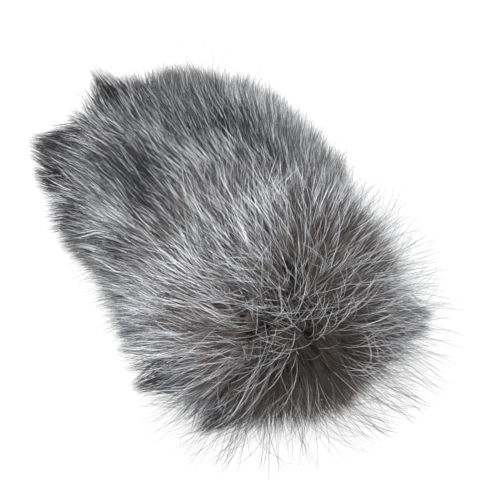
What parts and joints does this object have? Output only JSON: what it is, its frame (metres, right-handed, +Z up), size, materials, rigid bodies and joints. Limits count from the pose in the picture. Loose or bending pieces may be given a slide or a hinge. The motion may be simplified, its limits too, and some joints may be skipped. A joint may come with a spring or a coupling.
{
  "type": "furry microphone windscreen",
  "caption": "Slip-on furry windscreen for a short shotgun microphone: a long-pile fur cover with a side zip over a slotted foam core with a rubber grommet.",
  "frame": {"origin": "on the surface that the windscreen lies on, below the middle of its bounding box", "axes": "+Z up, +Y along the axis towards the open rear end where the microphone goes in, the nose at -Y, the zip on the +X side"},
  "size_m": [0.132, 0.2162, 0.1201],
  "materials": {
    "fur": "long-pile synthetic fur, brown-grey undercoat with silver guard hairs and dark tips",
    "knit_backing": "dark knitted backing of the fur",
    "woven_tape": "black woven polyester tape",
    "hem_cloth": "black folded cloth binding",
    "elastic": "flat braided elastic",
    "zip_nylon": "moulded black zip teeth",
    "zip_metal": "dark plated zinc",
    "foam": "charcoal open-cell foam",
    "liner_plastic": "black moulded slotted tube",
    "plate_plastic": "fine-textured black plate",
    "rubber": "soft matt black rubber"
  },
  "bodies": {
    "cover": {"upper_fur_pile": "fur", "lower_fur_pile": "fur", "upper_backing": "knit_backing", "lower_backing": "knit_backing", "seam_binding": "woven_tape", "rear_hem": "hem_cloth", "hem_elastic": "elastic", "zip_tape_upper": "woven_tape", "zip_tape_lower": "woven_tape", "zip_chain_upper": "zip_nylon", "zip_chain_lower": "zip_nylon", "zip_bottom_stop": "zip_metal", "zip_top_stop_upper": "zip_metal", "zip_top_stop_lower": "zip_metal"},
    "core": {"foam_tube": "foam", "foam_nose": "foam", "mic_liner": "liner_plastic", "base_plate": "plate_plastic", "grip_grommet": "rubber"},
    "slider": {"zip_slider": "zip_metal", "pull_pin": "zip_metal"},
    "pull": {"zip_pull": "zip_metal"}
  },
  "joints": [
    {"name": "core_withdrawal", "type": "slide", "parent": "cover", "child": "core", "axis": [0, 1, 0], "range_m": [0, 0.19]},
    {"name": "slider_travel", "type": "slide", "parent": "cover", "child": "slider", "axis": [0, -1, 0], "range_m": [0, 0.096]},
    {"name": "pull_swing", "type": "hinge", "parent": "slider", "child": "pull", "pos_m": [0.0421, 0.08375, 0.054], "axis": [0, 0, 1], "range_deg": [0, 172]}
  ]
}
